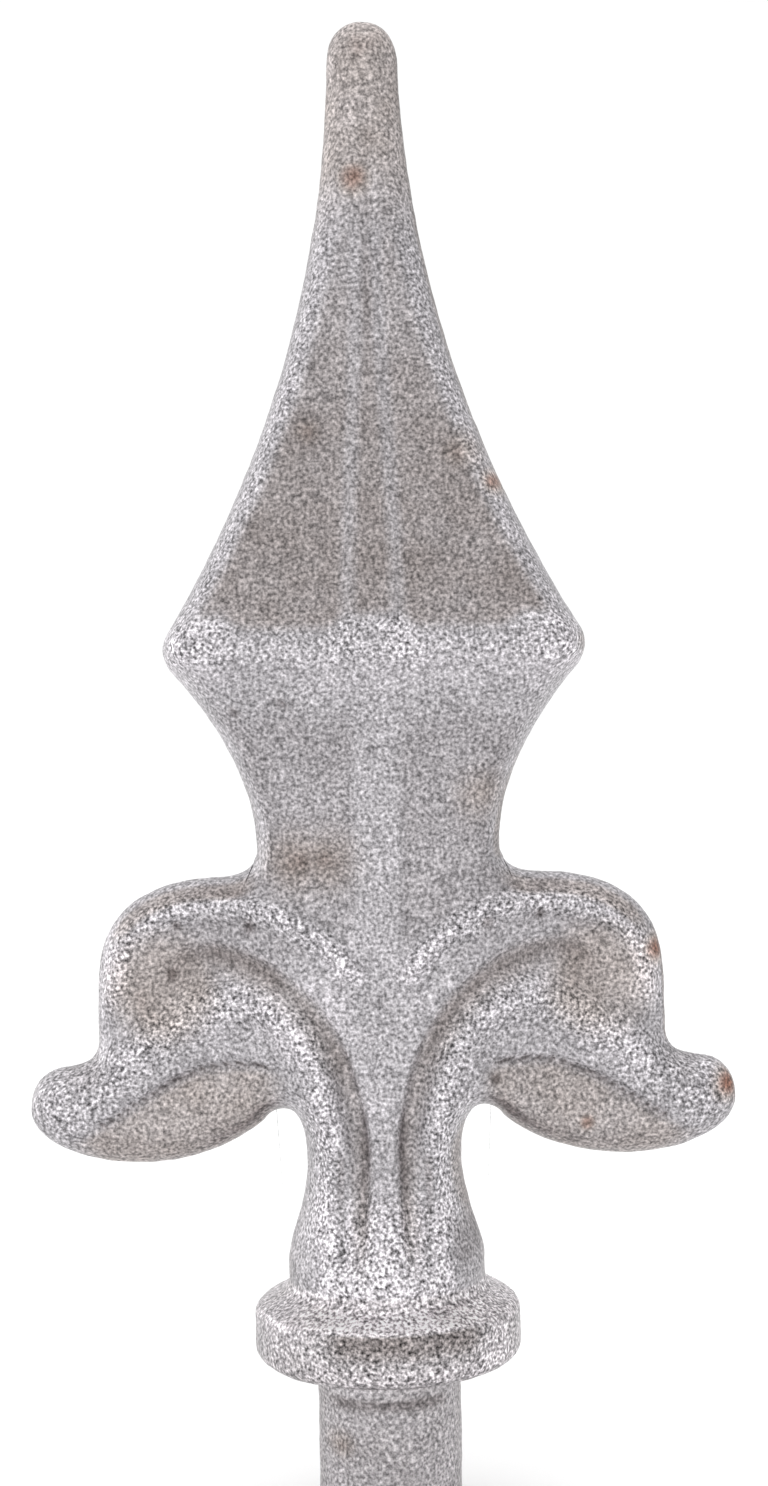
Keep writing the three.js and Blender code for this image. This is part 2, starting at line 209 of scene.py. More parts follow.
RIM = line(
    0.8, (1.4, 2.2), (2.6, 2.6), (1.2, 53.4), (3.1, 56.4), (5.6, 59), (9.3, 61.2), (13, 62.2),
    (17.5, 62.4), (22, 61.5), (25, 59), (26.2, 55), (26.4, 50.5))
GROOVE = line(
    -0.6, (1.2, 1.5), (1.2, 4.4), (3, 26), (2.4, 30.5), (2.1, 35), (2.2, 40), (3.3, 45), (4.9, 49),
    (6.7, 51.8), (8.4, 53.6), (10.9, 55.6), (14, 57.2), (17.5, 57.8), (20, 56.8), (21.5, 54.5), (22, 51.5))
FOLD = line(
    1, (2, 4), (3, 6), (6.2, 26), (6, 31), (5.2, 38), (5.6, 42), (6.6, 47.4), (8.4, 50.7), (11.2, 52.8),
    (14.5, 53.4), (18, 52.2), (21.5, 50.2), (25, 47.6), (28.5, 45.2), (31.5, 43.7), (34.5, 42.6))
CREASE = line(
    -0.5, (0.5, 0.5), (1.1, 1.1), (9, 46), (11.5, 46.7), (14.5, 46.9), (17.5, 46.5), (20.5, 45.3),
    (24, 43.3), (27, 41.5), (30, 40))
STALK_LINE = line(-0.2, (0.8, 0.8), (0.8, 0.8), (4.2, 27), (4.3, 33.5), (4.2, 39))
STALK_GROOVE = line(-0.15, (0.6, 0.6), (0.6, 0.6), (2.4, 27), (2.1, 33), (1.9, 38), (2.3, 43))

outline_at = finder(outline)
body_side = stalk_flank + [NECK] + blade_edge[1:]
lower_depth = through(FOOT, BULB, (6.6, 37.2), (5.4, 46), (5.2, 57), (NECK_DEPTH, NECK.y))


def pressed(carved_line, x, z):
    """How fully a carved line is pressed in at a place, from 0 beside it to 1 on its course."""
    offset, share = carved_line.find(x, z)
    reach = blend(*(carved_line.inner if offset < 0 else carved_line.outer), share)
    if abs(offset) >= reach:
        return 0
    ends = ease(share, 0, LINE_FADE) * ease(1 - share, 0, LINE_FADE)
    return ends * (1 + math.cos(math.pi * offset / reach)) / 2


def inset_at(x, z):
    """Distance in from the outline."""
    return abs(outline_at(x, z)[0])


def rib_half(z):
    """Half width of the midrib, which narrows up the blade."""
    return blend(RIB_HALF, RIB_HALF_AT_TIP, ease(z, BLADE_PANEL[0], BLADE_PANEL[3]))


def centre_depth(z):
    """Half thickness on the centre line. Above the neck the face swells as the sides do."""
    if z < NECK.y:
        return width_at(lower_depth, z)
    low, depth = (NECK.x, NECK_DEPTH) if z < RIDGE_CORNER.y else (TIP_SHOULDER.x, TIP_DEPTH)
    return blend(depth, RIDGE_DEPTH, min(max((width_at(body_side, z) - low) / (RIDGE_HALF - low), 0), 1))


def half_depth(x, z):
    """Half thickness at a place: the swelling face with its carving, rounded off towards the outline."""
    inset = inset_at(x, z)
    width = width_at(body_side, z)
    rib = rib_half(z)
    on_blade = between(z, *BLADE_PANEL)
    panel = PANEL_HOLLOW * on_blade + NECK_HOLLOW * between(z, *NECK_PANEL)
    panel *= ease(x, rib - RIB_FLANK / 2, rib + RIB_FLANK / 2)
    panel *= ease(inset, PANEL_BORDER, PANEL_BORDER + PANEL_SLOPE)
    panel += RIB_GROOVE * on_blade * fall(x, 0, rib)
    thinning = LEAF_THINNING * ease(x, *THIN_ACROSS) * fall(z, *THIN_TOP)
    carved = RIDGE_BEAD * fall(abs(z - BEAD_Z), 0, BEAD_REACH)
    for carved_line in (RIM, GROOVE, FOLD, CREASE, STALK_LINE, STALK_GROOVE):
        carved += carved_line.height * pressed(carved_line, x, z)
    border = blend(width, EDGE_ROUND, ease(z, *ROUND_TO_EDGE))
    border = min(border, max(width, LEAST_ROUND))
    turn = 1 - min(inset / border, 1)
    return (centre_depth(z) - thinning - panel + carved) * math.sqrt(1 - turn * turn)


# What the blasting left on each face, and light and shade painted on it: a dull, brownish film of scale in
# the grooves, on the blade's panels and on the lobes, with painted shade in the grooves, the leaf's hollow
# and on the panels, which face slightly up, painted shadow in the crease and in the notch above the curled
# tip, and bright, coarse-grained crests, painted highlights, on the ridge, the rims, the folds and the
# bulb, with more on the curl, the blade's rounded edges and the rib's edges, and a lighter painted band
# under the ridge.

# Four numbers are where a place starts, is full, starts to fade and ends, and two are where it comes in or
# fades out. They are heights unless the name says more.
# The blade's panels get a brown film with painted shade, as they face slightly up; along the rib's edges
# the film is thinned for a painted highlight.
PANEL_FILM_AND_SHADE = (89.8, 91.4, 100, 142)
RIB_LINE_REACH = (0.2, 1.2)
RIB_LINE_HIGHLIGHT = 0.7
NECK_FILM = (56, 62, 78, 83)
NECK_FILM_ACROSS = (1.6, 3)
NECK_FILM_INSET = (0.6, 1.8)
TAPER_FILM = (112, 120, 136, 142)
TAPER_FILM_ACROSS = (0.3, 1)
TIP_BROWN = (126, 138)
# Scale with painted shade in the leaf's hollow and along the groove, and a crisp painted shadow in the
# groove's bed.
HOLLOW_PLACE = (21.5, 54.5)
HOLLOW_REACH = (3, 7)
HOLLOW_FILM_AND_SHADE = 0.4
GROOVE_STARTS = (40, 50)
GROOVE_ON_STALK = 0.75
GROOVE_BED_SHADE = 0.4
GROOVE_BED_POWER = 6
# Painted shadows: a dark line along the crease under the fold's step, and a dark patch in the notch above
# the curled tip.
CREASE_POWER = 5
NOTCH_PLACE = (29.6, 46.2)
NOTCH_REACH = (1, 3)
LOBE_FILM_ACROSS = (9, 12, 27, 32)
LOBE_FILM_BELOW_CREASE = (0, 1)
LOBE_FILM_TOP = (46, 47)
LEDGE_FILM = (58, 61, NECK.y - 2, NECK.y)
LEDGE_FILM_ACROSS = (11, 14)
LEDGE_FILM_INSET = (0.3, 0.9, 1.6, 2.3)
# Painted highlights: a bright band along the ridge, brightest beside the rib and at the ridge's ends, a
# lighter painted band under it, and bright bands inside the blade's rounded edges.
RIDGE_BRIGHT = (85.6, 86.4, 89.4, 91)
RIDGE_BRIGHT_LEAST = 0.4
RIDGE_BRIGHT_SPOT = 2.6
RIDGE_BRIGHT_SPOT_REACH = (0, 3)
RIDGE_BRIGHT_ENDS = (13, 17)
RIDGE_DIP = 1.3
RIDGE_DIP_ACROSS = (2.5, 4.5, 12, 15)
RIDGE_UNDERSIDE = (82, 85, 86, 86.4)
EDGE_BRIGHT = (88, 92, 120, 135)
EDGE_BRIGHT_INSET = (0.6, 1.2, 1.9, 3.4)
# Painted highlights on the front of the bulb, on the curled leaf tip and along the fold's crest.
BULB_BRIGHT_TOP = (30, 37)
BULB_BRIGHT_ACROSS = (5.5, 7.5)
CURL_PLACE = (31.3, 43.2)
CURL_REACH = (1.5, 4.5)
FOLD_POWER = 1.5

# How much each place adds to the film of scale and painted shade, below 0 for a painted highlight, how
# bright a painted highlight it gives at most, and how brown it makes the steel at most.
FILM_AND_SHADE = {
    "panel": 1, "neck": 0.7, "taper": 0.5, "sunken": 1, "notch": 0.7, "lobe": 0.3, "ledge": 0.75,
    "crease": 2.3, "stalk_line": 1.1, "stalk_groove": 0.8, "rim": -0.6, "underside": -0.3, "bulb": -0.65,
}
PAINTED_HIGHLIGHT = {"ridge": 1, "edge": 0.5, "bulb": 1, "curl": 0.8, "rim": 1, "fold": 1}
BROWN = {"panel": 0.27, "hollow": 0.4, "ledge": 0.3, "lobe": 0.38, "groove": 0.25, "tip": 0.42}


def near(x, z, spot_x, spot_z, full, none):
    """1 at a spot on the face and as far out as full, falling to 0 at none."""
    return fall(math.hypot(x - spot_x, z - spot_z), full, none)


def finish(x, z):
    """Three values for a place on the face: its film of scale and painted shade, 0 on clean steel, 1 or
    more where it is dark and below 0 under a painted highlight, how bright a painted highlight it has on a
    crest, and its rust, whose first half is only a brown tint."""
    inset = inset_at(x, z)
    dip = RIDGE_DIP * between(x, *RIDGE_DIP_ACROSS)
    low, full, fading, high = PANEL_FILM_AND_SHADE
    panel = between(z, low - dip, full - dip, fading, high) * ease(inset, *EDGE_BRIGHT_INSET[2:])
    rib_line = fall(abs(x - rib_half(z)), *RIB_LINE_REACH)
    low, full, fading, high = RIDGE_BRIGHT
    ridge = between(z, low, full, fading - dip, high - dip)
    ridge_spots = max(
        fall(abs(x - RIDGE_BRIGHT_SPOT), *RIDGE_BRIGHT_SPOT_REACH), ease(x, *RIDGE_BRIGHT_ENDS))
    hollow = near(x, z, *HOLLOW_PLACE, *HOLLOW_REACH)
    groove = pressed(GROOVE, x, z) * blend(GROOVE_ON_STALK, 1, ease(z, *GROOVE_STARTS))
    below_crease = ease(CREASE.find(x, z)[0], *LOBE_FILM_BELOW_CREASE)
    share = {
        # Brown film and painted shade on the panels, thinned to a painted highlight along the rib's edges.
        "panel": panel * (1 - RIB_LINE_HIGHLIGHT * rib_line),
        "neck": between(z, *NECK_FILM) * ease(x, *NECK_FILM_ACROSS) * ease(inset, *NECK_FILM_INSET),
        "taper": between(z, *TAPER_FILM) * fall(x, *TAPER_FILM_ACROSS),
        "tip": ease(z, *TIP_BROWN),
        "hollow": hollow,
        "groove": groove,
        # Scale and painted shade in the hollow and the groove.
        "sunken": max(HOLLOW_FILM_AND_SHADE * hollow, groove + GROOVE_BED_SHADE * groove ** GROOVE_BED_POWER),
        # The notch and the crease get painted shadows.
        "notch": near(x, z, *NOTCH_PLACE, *NOTCH_REACH),
        "lobe": below_crease * between(x, *LOBE_FILM_ACROSS) * fall(z, *LOBE_FILM_TOP),
        "ledge": between(z, *LEDGE_FILM) * ease(x, *LEDGE_FILM_ACROSS) * between(inset, *LEDGE_FILM_INSET),
        "crease": pressed(CREASE, x, z) ** CREASE_POWER,
        "stalk_line": pressed(STALK_LINE, x, z),
        "stalk_groove": pressed(STALK_GROOVE, x, z),
        # From here on the shares are painted highlights, and the underside's a painted lighter band under
        # the ridge.
        "ridge": ridge * blend(RIDGE_BRIGHT_LEAST, 1, ridge_spots),
        "underside": between(z, *RIDGE_UNDERSIDE),
        "edge": between(z, *EDGE_BRIGHT) * between(inset, *EDGE_BRIGHT_INSET),
        "bulb": fall(z, *BULB_BRIGHT_TOP) * fall(x, *BULB_BRIGHT_ACROSS),
        "curl": near(x, z, *CURL_PLACE, *CURL_REACH),
        "rim": pressed(RIM, x, z),
        "fold": pressed(FOLD, x, z) ** FOLD_POWER,
    }
    return (
        sum(weight * share[name] for name, weight in FILM_AND_SHADE.items()),
        max(weight * share[name] for name, weight in PAINTED_HIGHLIGHT.items()),
        max(weight * share[name] for name, weight in BROWN.items()),
    )


# Skin of the head: one quarter of the forging, made of a leaf with its stalk and of half the blade, then
# mirrored to the other side and to the back. The leaf's grid runs up the stalk and out to the leaf's end,
# so its rows follow the carved lines. The film of scale with painted shade, the painted crest highlights
# and the rust are painted on for each place.
STALK_STEPS = 46
VEE_STEPS = 40
LEAF_STEPS = 44
LEAF_COLUMNS = STALK_STEPS + VEE_STEPS + LEAF_STEPS
ACROSS_STEPS = 80
BLADE_ROWS = 180
CROTCH_SHARE = 0.47
LOBE_SHARE = 0.7
END_PULL = 3
HEEL = Vector((0, FOOT.y))
GRID_HALF = 0.5
WELD = 1e-4

outer_side = along(stalk_flank + lobe_edge[1:])
vee_side = along(neck_v)
top_side = along(leaf_top)
end_side = along(leaf_end)
blade_side = along(blade_edge)


def close_at_both_ends(share):
    """A share that crowds the rows at both ends."""
    return (1 - math.cos(math.pi * share)) / 2


def close_at_far_end(share):
    """A share that crowds the rows at the far end."""
    return (share + math.sin(math.pi / 2 * share)) / 2


def leaf_place(column, row):
    """A place on the leaf, blended from its four sides, and whether it is on the outline."""
    if column <= STALK_STEPS:
        share = column / STALK_STEPS
        inner = HEEL.lerp(FORK, share)
        outer = outer_side(CROTCH_SHARE * share)
    elif column <= STALK_STEPS + VEE_STEPS:
        share = (column - STALK_STEPS) / VEE_STEPS
        inner = vee_side(close_at_far_end(share))
        outer = outer_side(blend(CROTCH_SHARE, LOBE_SHARE, share))
    else:
        share = close_at_far_end((column - STALK_STEPS - VEE_STEPS) / LEAF_STEPS)
        inner = top_side(share)
        outer = outer_side(blend(LOBE_SHARE, 1, share))
    u = (column / LEAF_COLUMNS) ** END_PULL
    v = close_at_both_ends(row / ACROSS_STEPS)
    ends = FOOT.lerp(HEEL, v).lerp(end_side(v), u)
    corners = FOOT.lerp(HEEL, v).lerp(LOBE_END.lerp(SHOULDER, v), u)
    on_top = row == ACROSS_STEPS and column >= STALK_STEPS + VEE_STEPS
    return outer.lerp(inner, v) + ends - corners, row == 0 or column == LEAF_COLUMNS or on_top


def blade_place(column, row):
    """A place on the blade and whether it is on the outline. Rows start at the neck's V, which flattens out
    towards the ridge."""
    edge = blade_side(row / BLADE_ROWS)
    share = close_at_far_end(column / VEE_STEPS)
    drop = 1 - min(max((edge.y - NECK.y) / (RIDGE_CORNER.y - NECK.y), 0), 1)
    place = Vector((edge.x * share, edge.y)) + (vee_side(share) - Vector((NECK.x * share, NECK.y))) * drop
    return place, column == VEE_STEPS


def face_patch(bm, columns, rows, place):
    """A grid on the front face, its corners moved to their places on the outline or at the face's depth."""
    made = bmesh.ops.create_grid(bm, x_segments=columns, y_segments=rows, size=GRID_HALF)
    for vert in made["verts"]:
        column = round((vert.co.x + GRID_HALF) * columns)
        row = round((vert.co.y + GRID_HALF) * rows)
        spot, on_outline = place(column, row)
        flat = on_outline or outline_at(spot.x, spot.y)[0] > 0
        vert.co = spot.x, 0 if flat else -half_depth(spot.x, spot.y), spot.y
        vert[film_and_shade], vert[crest_highlight], vert[rust] = finish(spot.x, spot.y)


bm = bmesh.new()
film_and_shade = bm.verts.layers.float.new("film_and_shade")
crest_highlight = bm.verts.layers.float.new("crest_highlight")
rust = bm.verts.layers.float.new("rust")
face_patch(bm, LEAF_COLUMNS, ACROSS_STEPS, leaf_place)
face_patch(bm, VEE_STEPS, BLADE_ROWS, blade_place)
bmesh.ops.remove_doubles(bm, verts=bm.verts, dist=WELD)
for axis in "XY":
    bmesh.ops.mirror(bm, geom=bm.verts[:] + bm.edges[:] + bm.faces[:], axis=axis, merge_dist=WELD)


# Collar and stem below the bulb: round, of the same forging, with a cove under the bulb, soft rims on the
# collar and a plain tail that is welded to a picket. The bulb's open foot ring is drawn down through them,
# so the finial stays one skin.
COLLAR_RADIUS = 13.2
COLLAR_TOP = 22.9
COLLAR_BOTTOM = 17.3
COLLAR_SLOPE = 25
COLLAR_ROUND = 1.3
BULB_COVE = 1.6
STEM_RADIUS = 7.1
STEM_FILLET = 0.5
STEM_CHAMFER = 0.5
RING_SPACING = 0.5
ARC_STEPS = 6


def arc(centre_x, centre_z, radius, start, end):
    """Round corner of a turned profile, from one angle to another, as points across and up."""
    angles = [math.radians(blend(start, end, i / ARC_STEPS)) for i in range(ARC_STEPS + 1)]
    return [Vector((centre_x + radius * math.cos(a), centre_z + radius * math.sin(a))) for a in angles]


rim_centre = COLLAR_RADIUS - COLLAR_ROUND
profile = [
    *arc(FOOT.x + BULB_COVE, FOOT.y, BULB_COVE, 180, 270 - COLLAR_SLOPE),
    *arc(rim_centre, COLLAR_TOP - COLLAR_ROUND, COLLAR_ROUND, 90 - COLLAR_SLOPE, 0),
    *arc(rim_centre, COLLAR_BOTTOM + COLLAR_ROUND, COLLAR_ROUND, 0, -90),
    *arc(STEM_RADIUS + STEM_FILLET, COLLAR_BOTTOM - STEM_FILLET, STEM_FILLET, 90, 180),
    Vector((STEM_RADIUS, STEM_CHAMFER)),
    Vector((STEM_RADIUS - STEM_CHAMFER, 0)),
    Vector((0, 0)),
]
ring = [edge for edge in bm.edges if edge.is_boundary]
for start, end in zip(profile, profile[1:]):
    steps = max(round((end - start).length / RING_SPACING), 1)
    for i in range(1, steps + 1):
        radius, height = start.lerp(end, i / steps)
        made = bmesh.ops.extrude_edge_only(bm, edges=ring)["geom"]
        lower = {g for g in made if isinstance(g, bmesh.types.BMVert)}
        for vert in lower:
            outwards = vert.co.xy.normalized() * radius
            vert.co = outwards.x, outwards.y, height
        ring = [g for g in made if isinstance(g, bmesh.types.BMEdge) and lower.issuperset(g.verts)]
bmesh.ops.remove_doubles(bm, verts=bm.verts, dist=WELD)
bmesh.ops.recalc_face_normals(bm, faces=bm.faces)


# Marks that the forge and the store left on the steel, and light and shade painted on it: scale with
# painted shade round the collar under its top rim, a brown tint on the collar and on the stem, a painted
# shadow on the stem just under the collar, painted highlights on the collar above its lower rim, weaker on
# the left, and along its top front edge, painted shade along the trimmed sides that face left and right,
# much darker on the right, with a brown tint there, and on the front face rust specks, stains and small
# pits. Each of those has its place across and up and its reach, specks and stains also a strength, below 0
# for a lighter patch.
# Scale with painted shade in a band under the collar's top rim.
COLLAR_SCALE_SHADE = (18.6, 21.8, 22.3, 22.7)
COLLAR_SCALE_SHADE_ACROSS = (-8, -4, 7, 11)
COLLAR_SCALE_SHADE_FILM = 1.9
COLLAR_SCALE_BROWN = 0.25
# Painted highlights on the collar above its lower rim, weaker on the left, and along its top front edge.
COLLAR_HIGHLIGHT = (COLLAR_BOTTOM, COLLAR_BOTTOM + 1)
COLLAR_HIGHLIGHT_FILM = -0.25
COLLAR_LEFT = (6, 9)
COLLAR_LEFT_LESS_HIGHLIGHT = 0.5
COLLAR_TOP_HIGHLIGHT = (22.4, 22.7, 23.4, 24.2)
COLLAR_TOP_HIGHLIGHT_ACROSS = (6, 11)
COLLAR_TOP_HIGHLIGHT_FILM = -1.2
# A painted shadow on the stem just under the collar.
STEM_SHADE = (13.1, 13.7, 14.3, 14.9)
STEM_SHADE_ACROSS = (4.5, 6.5)
STEM_SHADE_FILM = 1.5
STEM_BROWN = 0.1
# Painted shade on the sides that face left and right, much darker on the right except beside the bulb, with
# a brown tint there.
SIDE_TURN = (0.85, 0.95)
SIDE_LESS_SHADE = (23, 25, 30, 34)
SIDE_SHADE = (0.5, 1.3)
SIDE_BROWN = 0.3
SPECKS = (
    (-1, 133.6, 3.2, 0.95), (12.1, 103.4, 2.2, 1), (8.5, 106, 4, 0.45), (27.2, 57.2, 2.4, 1),
    (34, 43.8, 2.5, 1), (20, 40.4, 1.8, 0.9), (10, 73, 4, 0.4), (-8, 66.6, 5, 0.44), (-5, 66.6, 5, 0.44),
    (-6, 108.4, 3, 0.5), (-4.8, 10, 2.4, 0.5),
)
STAINS = (
    (-8.2, 66.6, 3.2, 0.28), (-4.8, 66.4, 3.2, 0.28), (-6, 108.4, 3, 0.3), (7.6, 29.5, 3, 0.9),
    (-4.8, 10, 2.4, 0.5), (-3, 43, 5, -0.3), (-7, 51, 6, -0.5),
)
STAIN_CORE = 0.4
PITS = (
    (10.5, 60.4, 1), (15.8, 61, 0.8), (-12.8, 60.3, 1), (-20, 60.5, 0.8), (-9, 82, 0.7), (-13.6, 81.3, 0.8),
    (11, 45, 1), (-20.6, 55.6, 0.8),
)
PIT_FILM = 1.9
PIT_DEPTH = 0.12

bm.normal_update()
for vert in bm.verts:
    x, y, z = vert.co
    if z < FOOT.y:
        # Scale and painted shade in a band under the collar's top rim.
        scale = between(z, *COLLAR_SCALE_SHADE) * between(x, *COLLAR_SCALE_SHADE_ACROSS)
        # Painted highlights on the collar above its lower rim, weaker on the left, and along its top front
        # edge.
        collar_highlight = ease(z, *COLLAR_HIGHLIGHT) * (1 - COLLAR_LEFT_LESS_HIGHLIGHT * ease(-x, *COLLAR_LEFT))
        top_highlight = between(z, *COLLAR_TOP_HIGHLIGHT) * fall(abs(x), *COLLAR_TOP_HIGHLIGHT_ACROSS)
        # A painted shadow on the stem just under the collar.
        shade = between(z, *STEM_SHADE) * fall(abs(x), *STEM_SHADE_ACROSS)
        vert[film_and_shade] = COLLAR_SCALE_SHADE_FILM * scale + STEM_SHADE_FILM * shade
        vert[film_and_shade] += COLLAR_HIGHLIGHT_FILM * collar_highlight + COLLAR_TOP_HIGHLIGHT_FILM * top_highlight
        vert[crest_highlight] = collar_highlight
        vert[rust] = max(STEM_BROWN, COLLAR_SCALE_BROWN * scale)
    # Painted shade on the sides that face left and right, much darker on the right, with a brown tint
    # there.
    side = ease(abs(vert.normal.x), *SIDE_TURN)
    right = (x > 0) * ease(z, COLLAR_TOP, BULB.y) * (1 - between(z, *SIDE_LESS_SHADE))
    vert[film_and_shade] += blend(*SIDE_SHADE, right) * side
    vert[rust] = max(vert[rust], SIDE_BROWN * side * right)
    if y < 0:
        for *spot, reach, strength in SPECKS:
            vert[rust] = max(vert[rust], strength * near(x, z, *spot, 0, reach))
        for *spot, reach, strength in STAINS:
            vert[film_and_shade] += strength * near(x, z, *spot, STAIN_CORE * reach, reach)
        for *spot, reach in PITS:
            sunk = near(x, z, *spot, 0, reach)
            vert[film_and_shade] += PIT_FILM * sunk
            vert.co -= vert.normal * PIT_DEPTH * sunk


# Forged skin: the hot scale and the blasting leave the steel slightly uneven all over, in slow waves with
# shallow dents on them. It is put on last, along the faces' normals, and makes the finished skin.
WAVE_MM = 7
WAVE_HEIGHT = 0.07
DENT_MM = 1.6
DENT_HEIGHT = 0.05
DENT_FADING = 1.0
DENT_FINER = 2.0
DENT_LAYERS = 2

bm.normal_update()
moves = []
for vert in bm.verts:
    wave = noise.noise(vert.co / WAVE_MM) * WAVE_HEIGHT
    dent = noise.fractal(vert.co / DENT_MM, DENT_FADING, DENT_FINER, DENT_LAYERS) * DENT_HEIGHT
    moves.append(vert.normal * (wave + dent))
for vert, move in zip(bm.verts, moves):
    vert.co += move
bmesh.ops.scale(bm, vec=(MM, MM, MM), verts=bm.verts)
for face in bm.faces:
    face.smooth = True
mesh = bpy.data.meshes.new("spear_finial_skin")
bm.to_mesh(mesh)
bm.free()
finial = bpy.data.objects.new("spear_finial_skin", mesh)
bpy.context.scene.collection.objects.link(finial)


# Shot-blasted forged steel, left bare: a satin grey whose blasted grain sparkles more on the crests, where
# a highlight is painted as a lighter tone, darkened by a thin film of scale and by painted shade in the
# hollows and on the flats, with a brown tint and a few specks of rust. The grain is that of grit a third of
# a millimetre across.
GRAIN_MM = 0.33
GRAIN_LAYERS = 1.0
GRAIN_MIDDLE = 0.5
GRAIN_ON_FLATS = 1.5
GRAIN_ON_HIGHLIGHTS = 2.4
GRAIN_CONTRAST = 2.0
GRAIN_BUMP = 0.5
GRAIN_DEPTH_MM = 0.1
CLOUD_MM = 5
CLOUD_LAYERS = 4.0
CLOUD_SWING = 1.2
HIGHLIGHT_LIFT = -0.4
STEEL_ROUGHNESS = 0.42
TONE_RANGE = (-1.9, 1.9)
TONES = (
    (-1.9, "#e4e0e4"), (-1.3, "#d0ccd0"), (-0.7, "#bdb9bd"), (0, "#a8a5a8"), (1, "#959193"),
    (1.9, "#6c6768"),
)
RUST_RANGE = (0, 1)
RUST_TINTS = ((0, "#ffffff"), (0.45, "#fff8f0"), (0.7, "#ecd7ca"), (1, "#cb9d88"))


def linear(hex_colour):
    """An sRGB hex value as linear RGBA."""
    parts = [int(hex_colour[i:i + 2], 16) / 255 for i in (1, 3, 5)]
    return [c / 12.92 if c <= 0.04045 else ((c + 0.055) / 1.055) ** 2.4 for c in parts] + [1.0]


def node(tree, kind, inputs=None, **settings):
    """Adds a node with its settings. An input given as a node's output is linked, any other is set."""
    made = tree.nodes.new(kind)
    for name, value in settings.items():
        setattr(made, name, value)
    for name, value in (inputs or {}).items():
        if isinstance(value, bpy.types.NodeSocket):
            tree.links.new(value, made.inputs[name])
        else:
            made.inputs[name].default_value = value
    return made


steel = bpy.data.materials.new("shot_blasted_forged_steel")
steel.use_nodes = True
tree = steel.node_tree
shader = tree.nodes["Principled BSDF"]
position = node(tree, "ShaderNodeTexCoord").outputs["Object"]
film_and_shade_painted = node(tree, "ShaderNodeAttribute", attribute_name="film_and_shade").outputs["Fac"]
highlight_painted = node(tree, "ShaderNodeAttribute", attribute_name="crest_highlight").outputs["Fac"]
rust_painted = node(tree, "ShaderNodeAttribute", attribute_name="rust").outputs["Fac"]
grain = node(
    tree, "ShaderNodeTexNoise",
    {"Vector": position, "Scale": 1 / (GRAIN_MM * MM), "Detail": GRAIN_LAYERS}).outputs["Fac"]
cloud = node(
    tree, "ShaderNodeTexNoise",
    {"Vector": position, "Scale": 1 / (CLOUD_MM * MM), "Detail": CLOUD_LAYERS}).outputs["Fac"]

patchy = node(
    tree, "ShaderNodeMath", {0: cloud, 1: CLOUD_SWING, 2: -CLOUD_SWING / 2},
    operation="MULTIPLY_ADD").outputs["Value"]
darkened = node(tree, "ShaderNodeMath", {0: film_and_shade_painted, 1: patchy}, operation="ADD").outputs["Value"]
# The tone: film and painted shade darken it, the painted crest highlight lightens it.
tone = node(
    tree, "ShaderNodeMath", {0: highlight_painted, 1: HIGHLIGHT_LIFT, 2: darkened},
    operation="MULTIPLY_ADD").outputs["Value"]
tone_share = node(
    tree, "ShaderNodeMapRange",
    {"Value": tone, "From Min": TONE_RANGE[0], "From Max": TONE_RANGE[1]}).outputs["Result"]
skin_tone = node(tree, "ShaderNodeValToRGB", {"Fac": tone_share})

# The grain swings wider under the painted crest highlights, a painted sparkle.
swing = node(
    tree, "ShaderNodeMapRange",
    {"Value": highlight_painted, "To Min": GRAIN_ON_FLATS, "To Max": GRAIN_ON_HIGHLIGHTS}).outputs["Result"]
off_middle = node(
    tree, "ShaderNodeMath", {0: grain, 1: GRAIN_MIDDLE}, operation="SUBTRACT").outputs["Value"]
swung = node(
    tree, "ShaderNodeMath", {0: off_middle, 1: swing, 2: 1.0}, operation="MULTIPLY_ADD").outputs["Value"]
sparkle = node(tree, "ShaderNodeMath", {0: swung, 1: GRAIN_CONTRAST}, operation="POWER").outputs["Value"]
blasted = node(
    tree, "ShaderNodeMixRGB", {"Fac": 1.0, "Color1": skin_tone.outputs["Color"], "Color2": sparkle},
    blend_type="MULTIPLY").outputs["Color"]

rust_patches = node(
    tree, "ShaderNodeMath", {0: patchy, 1: rust_painted}, operation="MULTIPLY").outputs["Value"]
ragged_rust = node(
    tree, "ShaderNodeMath", {0: rust_patches, 1: rust_painted}, operation="ADD").outputs["Value"]
rust_tint = node(tree, "ShaderNodeValToRGB", {"Fac": ragged_rust})
rusted = node(
    tree, "ShaderNodeMixRGB", {"Fac": 1.0, "Color1": blasted, "Color2": rust_tint.outputs["Color"]},
    blend_type="MULTIPLY").outputs["Color"]

for ramp, levels, (low, high) in ((skin_tone, TONES, TONE_RANGE), (rust_tint, RUST_TINTS, RUST_RANGE)):
    stops = ramp.color_ramp.elements
    while len(stops) < len(levels):
        stops.new(1)
    for stop, (level, colour) in zip(stops, levels):
        stop.position = (level - low) / (high - low)
        stop.color = linear(colour)

bump = node(
    tree, "ShaderNodeBump", {"Height": grain, "Strength": GRAIN_BUMP, "Distance": GRAIN_DEPTH_MM * MM})
tree.links.new(rusted, shader.inputs["Base Color"])
tree.links.new(bump.outputs["Normal"], shader.inputs["Normal"])
shader.inputs["Metallic"].default_value = 1.0
shader.inputs["Roughness"].default_value = STEEL_ROUGHNESS
mesh.materials.append(steel)

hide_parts("spear_finial")
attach(finial, "root")


